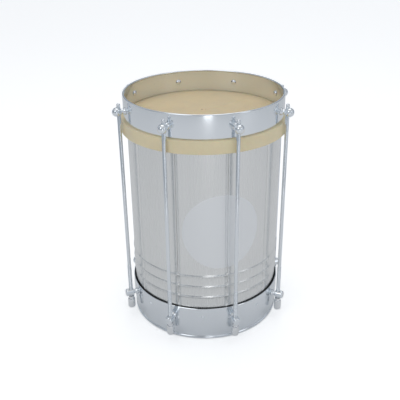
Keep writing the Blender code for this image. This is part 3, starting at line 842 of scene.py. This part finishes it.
class CUICA_OT_lugs(bpy.types.Operator):
    """Models the top posts with their balls and the bottom barrels"""

    bl_idname = "cuica.lugs"
    bl_label = "Lugs"

    def execute(self, context):
        chrome = plated("lug_chrome", colours().chrome, 0.03, 0.07)
        ball, neck, collar = sizes().ball_radius, LUG_NECK, LUG_COLLAR
        middle = ROD_CIRCLE + BALL_PAST_ROD - TOP_LUG_FACE
        start = math.degrees(math.asin(neck / ball))
        root = middle - ball * math.cos(math.radians(start))
        post = lug_flange()
        post += [(collar, 2.0 * MM), (3.6 * MM, 3.2 * MM), (neck, 4.0 * MM)]
        post += [(neck, root - 1.5 * MM), (4.0 * MM, root - 1.3 * MM), (collar, root - 1.0 * MM)]
        post += [(collar, root - 0.6 * MM), (4.0 * MM, root - 0.3 * MM)]
        post += arc(0.0, middle, ball, start - 90, 90, 16)
        top = lathe("post_master", post, 40, closed=False)
        cut(top, rod_bore(sizes().rod_radius + GAP, ROD_CIRCLE - TOP_LUG_FACE))
        smooth(top, 35)
        places = [outward_matrix(a, TOP_LUG_FACE, TOP_LUG_HEIGHT) for a in lug_azimuths()]
        copies(top, "ball_post", places, chrome, ["hoop"] * LUG_COUNT, numbered("top_lug"))
        barrel, corner = sizes().barrel_radius, BARREL_CORNER
        middle = ROD_CIRCLE - BOTTOM_LUG_FACE
        inner, outer = middle - BARREL_INWARD, middle + BARREL_OUTWARD
        body = lug_flange()
        body += [(3.7 * MM, 2.6 * MM), (neck, 3.4 * MM)]
        body += [(neck, inner - 1.0 * MM), (neck + 0.3 * MM, inner - 0.7 * MM)]
        body += [(barrel - 0.5 * MM, inner - 0.2 * MM), (barrel, inner + 0.4 * MM)]
        body += arc(barrel - corner, outer - corner, corner, 0, 80, 7)
        body += [(0.0, outer)]
        bottom = lathe("barrel_master", body, 40, closed=False)
        cut(bottom, rod_bore(sizes().thread_radius + GAP, middle))
        smooth(bottom, 35)
        places = [outward_matrix(a, BOTTOM_LUG_FACE, BOTTOM_LUG_HEIGHT) for a in lug_azimuths()]
        copies(bottom, "barrel_lug", places, chrome, ["root"] * LUG_COUNT, numbered("bottom_lug"))
        return {"FINISHED"}


def thread_profile(length):
    """A rod's section from its foot up, without its domed top: crests, then the plain shank."""
    shank, thread, pitch = sizes().rod_radius, sizes().thread_radius, sizes().thread_pitch
    waist = shank * 0.86
    profile = [(0.0, 0.0), (shank * 0.8, 0.0)]
    for i in range(int(THREAD_LENGTH / pitch)):
        profile += [(shank, pitch * (i + 0.15)), (thread, pitch * (i + 0.5)), (shank, pitch * (i + 0.85))]
    profile += [(shank, THREAD_LENGTH + 1.0 * MM), (shank, length - 4.6 * MM)]
    profile += [(waist, length - 4.2 * MM), (waist, length - 3.9 * MM), (shank, length - 3.5 * MM)]
    return profile


def nut_master():
    """A long hexagon nut with a turned neck and collar above it, bored through."""
    deselect_all()
    corner = NUT_HEX_HALF / math.cos(math.pi / 6)
    bpy.ops.mesh.primitive_cylinder_add(
        vertices=6, radius=corner, depth=NUT_HEX_LENGTH, location=(0, 0, NUT_HEX_LENGTH / 2)
    )
    nut = bpy.context.object
    nut.name = "nut_master"
    bpy.ops.object.transform_apply(location=True, rotation=True, scale=True)
    crown = [(0.0, -1.0 * MM), (4.55 * MM, -1.0 * MM), (6.6 * MM, 3.4 * MM), (6.6 * MM, 11.9 * MM)]
    crown += [(4.9 * MM, 16.0 * MM), (0.0, 16.0 * MM)]
    cut(nut, lathe("nut_crown", crown, 48, closed=False), "INTERSECT")
    collar = [(0.0, 14.0 * MM), (4.3 * MM, 14.0 * MM), (4.3 * MM, 15.6 * MM), (NUT_NECK, 16.1 * MM)]
    collar += [(NUT_NECK, 18.6 * MM), (NUT_COLLAR, 19.2 * MM), (NUT_COLLAR, 20.1 * MM), (0.0, 20.1 * MM)]
    cut(nut, lathe("nut_collar", collar, 40, closed=False), "UNION")
    deselect_all()
    bore = sizes().thread_radius + GAP
    bpy.ops.mesh.primitive_cylinder_add(vertices=32, radius=bore, depth=40 * MM, location=(0, 0, 10 * MM))
    cut(nut, bpy.context.object)
    soften(nut, NUT_BEVEL)
    return nut


class CUICA_OT_rods(bpy.types.Operator):
    """Models the tension rods with their rolled threads, and the nuts"""

    bl_idname = "cuica.rods"
    bl_label = "Rods and nuts"

    def execute(self, context):
        shank = sizes().rod_radius
        length = ROD_HIGH[2] - ROD_LOW[2]
        profile = thread_profile(length) + arc(0.0, length - shank, shank, 0, 90, 7)
        rod = lathe("rod_master", profile, 20, closed=False)
        smooth(rod, 50)
        places = [upright_matrix(a, ROD_CIRCLE, ROD_LOW[2]) for a in lug_azimuths()]
        steel = plated("rod_plate", (0.80, 0.83, 0.86), 0.10, 0.18)
        copies(rod, "rod", places, steel, ["hoop"] * LUG_COUNT, numbered("tension_rod"))
        places = [upright_matrix(a, ROD_CIRCLE, NUT_FOOT) for a in lug_azimuths()]
        plate = plated("nut_plate", (0.84, 0.85, 0.86), 0.12, 0.22)
        copies(nut_master(), "long_nut", places, plate, numbered("nut"), numbered("tension_nut"))
        return {"FINISHED"}


class CUICA_OT_screws(bpy.types.Operator):
    """Models the lugs' domed screws with their cross recesses"""

    bl_idname = "cuica.screws"
    bl_label = "Lug screws"

    def execute(self, context):
        finish = plated("screw_plate", (0.86, 0.87, 0.88), 0.08, 0.16)
        for name, seat, grip, node, body, height in (
            ("hoop_screw", HOOP_SCREW_SEAT, HOOP_SCREW_GRIP, "top_lug_screw", "hoop", TOP_LUG_HEIGHT),
            ("ring_screw", RING_SCREW_SEAT, RING_SCREW_GRIP, "bottom_lug_screw", "root", BOTTOM_LUG_HEIGHT),
        ):
            profile = [(0.0, -SCREW_DOME), (1.6 * MM, -2.05 * MM), (3.0 * MM, -1.45 * MM)]
            profile += [(3.8 * MM, -0.6 * MM), (SCREW_HEAD, -0.2 * MM), (3.9 * MM, 0.0)]
            profile += [(SCREW_SHANK, 0.0), (SCREW_SHANK, grip), (0.0, grip)]
            screw = lathe(f"{name}_master", profile, 32, closed=False)
            for turn in (0.0, math.pi / 2):
                deselect_all()
                bpy.ops.mesh.primitive_cube_add(size=1, location=(0, 0, -SCREW_DOME), rotation=(0, 0, turn))
                slot_tool = bpy.context.object
                slot_tool.scale = SCREW_RECESS
                bpy.ops.object.transform_apply(location=True, rotation=True, scale=True)
                cut(screw, slot_tool)
            smooth(screw, 35)
            places = [outward_matrix(a, seat, height) for a in lug_azimuths()]
            copies(screw, name, places, finish, [body] * LUG_COUNT, numbered(node))
        return {"FINISHED"}


def stick_piece():
    """The bamboo stick, from its domed top past the tied neck and the nodes to its foot."""
    radius, neck, half = STICK_RADIUS, STICK_NECK, NECK_HALF
    foot = STICK_LOW[2] - STICK_PIVOT
    profile = arc(0.0, 0.0, STICK_HIGH[2] - STICK_PIVOT, 90, 62, 5)
    profile += [(2.7 * MM, half + 0.3 * MM), (2.4 * MM, half), (neck, half), (neck, -half)]
    profile += [(2.5 * MM, -half), (radius, -half - 0.9 * MM)]
    for i in range(NODES):
        middle = -half - NODE_FIRST - NODE_PITCH * i
        profile += [(radius * 0.985, middle + 3.2 * MM), (radius + 0.15 * MM, middle + 1.5 * MM)]
        profile += [(radius + 0.5 * MM, middle + 0.5 * MM), (radius + 0.05 * MM, middle)]
        profile += [(radius + 0.4 * MM, middle - 0.6 * MM), (radius, middle - 1.8 * MM)]
    profile += [(radius * 0.98, foot + 0.9 * MM), (radius * 0.72, foot), (0.0, foot)]
    stick = lathe("bamboo_stick", profile, 36, closed=False)
    settle(stick, Matrix.Translation((0, 0, STICK_PIVOT)))
    smooth(stick, 40)
    dress(stick, fibrous("bamboo", colours().bamboo, 0.06, 700.0, 0.42))
    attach(stick, "stick")
    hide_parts("stick")


def winding_piece(thread):
    """The tie's winding: round strands side by side on one sleeve."""
    half = WINDING_HALF
    wound = [(WINDING_INSIDE, half), (WINDING_INSIDE, -half)]
    for i in range(WINDING_TURNS):
        height = half * (2 * (i + 0.5) / WINDING_TURNS - 1)
        wound += arc(WINDING_MIDDLE, height, WINDING_STRAND, -80, 80, 4)
    tie = lathe("thread_winding", wound, 36, closed=True)
    settle(tie, Matrix.Translation((0, 0, STICK_PIVOT)))
    smooth(tie, 60)
    dress(tie, thread)
    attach(tie, "tie")
    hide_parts("tie_thread")


class CUICA_OT_stick(bpy.types.Operator):
    """Models the bamboo stick, its thread winding and the stitch on the head"""

    bl_idname = "cuica.stick"
    bl_label = "Stick and tie"

    def execute(self, context):
        stick_piece()
        thread = fibrous("thread", colours().thread, 1.0, 900.0, 0.75)
        winding_piece(thread)
        knot = [(0.0, -0.6 * MM), (0.9 * MM, -0.5 * MM), (1.15 * MM, 0.0)]
        knot += [(0.9 * MM, 0.45 * MM), (0.0, 0.6 * MM)]
        for number, (x, y) in enumerate(STITCHES, 1):
            piece = lathe(f"head_stitch_{number}", knot, 20, closed=False)
            settle(piece, Matrix.Translation((x, y, HEAD_HIGH[2] - STITCH_SINK)))
            smooth(piece, 60)
            dress(piece, thread)
            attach(piece, "root")
        return {"FINISHED"}


FLOOR_SIZE = 12.0
LAMP_AIM = 0.18
WORLD_STRENGTH = 0.80
FLOOR_GLOW = 0.45
BAND_COUNT = 5.0
BAND_TURN = 0.6
BAND_DARKEST = 0.55


def area_light(name, place, target, size, power, colour):
    """Soft rectangular lamp that faces a point."""
    deselect_all()
    bpy.ops.object.light_add(type="AREA", location=place)
    lamp = bpy.context.object
    lamp.name = name
    lamp.data.shape = "RECTANGLE"
    lamp.data.size, lamp.data.size_y = size
    lamp.data.energy = power
    lamp.data.color = colour
    aim = Vector(target) - Vector(place)
    lamp.rotation_euler = aim.to_track_quat("-Z", "Y").to_euler()
    return lamp


def studio_world():
    """Pale studio: white to the camera, and upright bands of soft cool light for the reflections."""
    world = bpy.data.worlds.new("studio")
    bpy.context.scene.world = world
    world.use_nodes = True
    tree = world.node_tree
    nodes, links = tree.nodes, tree.links
    back = nodes["Background"]
    coords = nodes.new("ShaderNodeTexCoord")
    parts = nodes.new("ShaderNodeSeparateXYZ")
    links.new(coords.outputs["Generated"], parts.inputs["Vector"])
    ramp = nodes.new("ShaderNodeValToRGB")
    ramp.color_ramp.elements[0].position = 0.30
    ramp.color_ramp.elements[0].color = (0.92, 0.92, 0.90, 1)
    ramp.color_ramp.elements[1].position = 0.95
    ramp.color_ramp.elements[1].color = (0.95, 0.97, 1.0, 1)
    low = ramp.color_ramp.elements.new(0.52)
    low.color = (0.55, 0.60, 0.66, 1)
    mid = ramp.color_ramp.elements.new(0.66)
    mid.color = (0.62, 0.68, 0.75, 1)
    lift = nodes.new("ShaderNodeMapRange")
    lift.inputs["From Min"].default_value = -1.0
    links.new(parts.outputs["Z"], lift.inputs["Value"])
    links.new(lift.outputs["Result"], ramp.inputs["Fac"])
    turn = nodes.new("ShaderNodeMath")
    turn.operation = "ARCTAN2"
    links.new(parts.outputs["Y"], turn.inputs[0])
    links.new(parts.outputs["X"], turn.inputs[1])
    times = nodes.new("ShaderNodeMath")
    times.operation = "MULTIPLY_ADD"
    times.inputs[1].default_value = BAND_COUNT
    times.inputs[2].default_value = BAND_TURN
    links.new(turn.outputs["Value"], times.inputs[0])
    wave = nodes.new("ShaderNodeMath")
    wave.operation = "SINE"
    links.new(times.outputs["Value"], wave.inputs[0])
    bands = nodes.new("ShaderNodeMapRange")
    bands.inputs["From Min"].default_value = -1.0
    bands.inputs["To Min"].default_value = BAND_DARKEST
    links.new(wave.outputs["Value"], bands.inputs["Value"])
    shade = nodes.new("ShaderNodeVectorMath")
    shade.operation = "SCALE"
    links.new(ramp.outputs["Color"], shade.inputs[0])
    links.new(bands.outputs["Result"], shade.inputs["Scale"])
    links.new(shade.outputs["Vector"], back.inputs["Color"])
    back.inputs["Strength"].default_value = WORLD_STRENGTH
    white = nodes.new("ShaderNodeBackground")
    white.inputs["Color"].default_value = (1, 1, 1, 1)
    white.inputs["Strength"].default_value = 1.0
    path = nodes.new("ShaderNodeLightPath")
    mix = nodes.new("ShaderNodeMixShader")
    links.new(path.outputs["Is Camera Ray"], mix.inputs["Fac"])
    links.new(back.outputs["Background"], mix.inputs[1])
    links.new(white.outputs["Background"], mix.inputs[2])
    links.new(mix.outputs["Shader"], nodes["World Output"].inputs["Surface"])


def floor_finish():
    """Pale floor: white to the camera, with the object's shadow kept."""
    finish, tree, shader = new_finish("pale_floor", (0.93, 0.93, 0.93), 0.6, 0.0)
    shader.inputs["Emission Color"].default_value = (1, 1, 1, 1)
    path = tree.nodes.new("ShaderNodeLightPath")
    strength = tree.nodes.new("ShaderNodeMath")
    strength.operation = "MULTIPLY"
    strength.inputs[1].default_value = FLOOR_GLOW
    tree.links.new(path.outputs["Is Camera Ray"], strength.inputs[0])
    tree.links.new(strength.outputs["Value"], shader.inputs["Emission Strength"])
    return finish


class CUICA_OT_stage(bpy.types.Operator):
    """Sets the pale floor, the soft lamps and the camera at the photograph's angle"""

    bl_idname = "cuica.stage"
    bl_label = "Stage"

    def execute(self, context):
        deselect_all()
        bpy.ops.mesh.primitive_plane_add(size=FLOOR_SIZE)
        floor = bpy.context.object
        floor.name = "floor"
        dress(floor, floor_finish())
        studio_world()
        middle = (0, 0, LAMP_AIM)
        area_light("key_lamp", (-0.9, -1.3, 1.5), middle, (1.0, 1.0), 3.0, (1.0, 1.0, 1.0))
        area_light("fill_lamp", (1.5, -0.9, 0.9), middle, (0.5, 1.4), 2.0, (0.97, 0.98, 1.0))
        area_light("front_strip", (0.25, -1.9, 0.35), middle, (0.35, 1.0), 1.6, (1.0, 1.0, 1.0))
        area_light("top_lamp", (0.0, 0.4, 1.8), middle, (1.2, 1.2), 4.0, (1.0, 0.99, 0.97))
        yaw, pitch, roll = CAMERA_YAW, CAMERA_PITCH, CAMERA_ROLL
        ahead = math.cos(pitch)
        forward = Vector((math.sin(yaw) * ahead, math.cos(yaw) * ahead, -math.sin(pitch)))
        level = Vector((math.cos(yaw), -math.sin(yaw), 0.0))
        upper = level.cross(forward)
        right = level * math.cos(roll) + upper * math.sin(roll)
        up = upper * math.cos(roll) - level * math.sin(roll)
        deselect_all()
        bpy.ops.object.camera_add()
        camera = bpy.context.object
        camera.name = "photo_camera"
        camera.data.sensor_width = SENSOR_WIDTH
        camera.data.lens = FOCAL_PIXELS / PHOTO_SIDE * SENSOR_WIDTH
        camera.data.clip_start = 0.01
        turn = Matrix((right, up, -forward)).transposed().to_4x4()
        camera.matrix_world = Matrix.Translation(CAMERA_PLACE) @ turn
        context.scene.camera = camera
        context.scene.view_settings.view_transform = "Standard"
        return {"FINISHED"}


class CUICA_PT_panel(bpy.types.Panel):
    """The drum's pieces, in the order they are made"""

    bl_label = "Cuica"
    bl_idname = "CUICA_PT_panel"
    bl_space_type = "VIEW_3D"
    bl_region_type = "UI"
    bl_category = "Cuica"

    def draw(self, context):
        for group in (context.scene.cuica_sizes, context.scene.cuica_colours):
            for name in group.__annotations__:
                self.layout.prop(group, name)
        for operator in OPERATORS:
            self.layout.operator(operator.bl_idname)


OPERATORS = (
    CUICA_OT_shell,
    CUICA_OT_ring,
    CUICA_OT_hoop,
    CUICA_OT_skin,
    CUICA_OT_lugs,
    CUICA_OT_rods,
    CUICA_OT_screws,
    CUICA_OT_stick,
    CUICA_OT_stage,
)
CLASSES = (CuicaSizes, CuicaColours, *OPERATORS, CUICA_PT_panel)


def register():
    for item in CLASSES:
        bpy.utils.register_class(item)
    bpy.types.Scene.cuica_sizes = PointerProperty(type=CuicaSizes)
    bpy.types.Scene.cuica_colours = PointerProperty(type=CuicaColours)


def unregister():
    del bpy.types.Scene.cuica_colours
    del bpy.types.Scene.cuica_sizes
    for item in reversed(CLASSES):
        bpy.utils.unregister_class(item)


def main():
    register()
    streak_group()
    for operator in OPERATORS:
        group, name = operator.bl_idname.split(".")
        getattr(getattr(bpy.ops, group), name)()


if __name__ == "__main__":
    main()
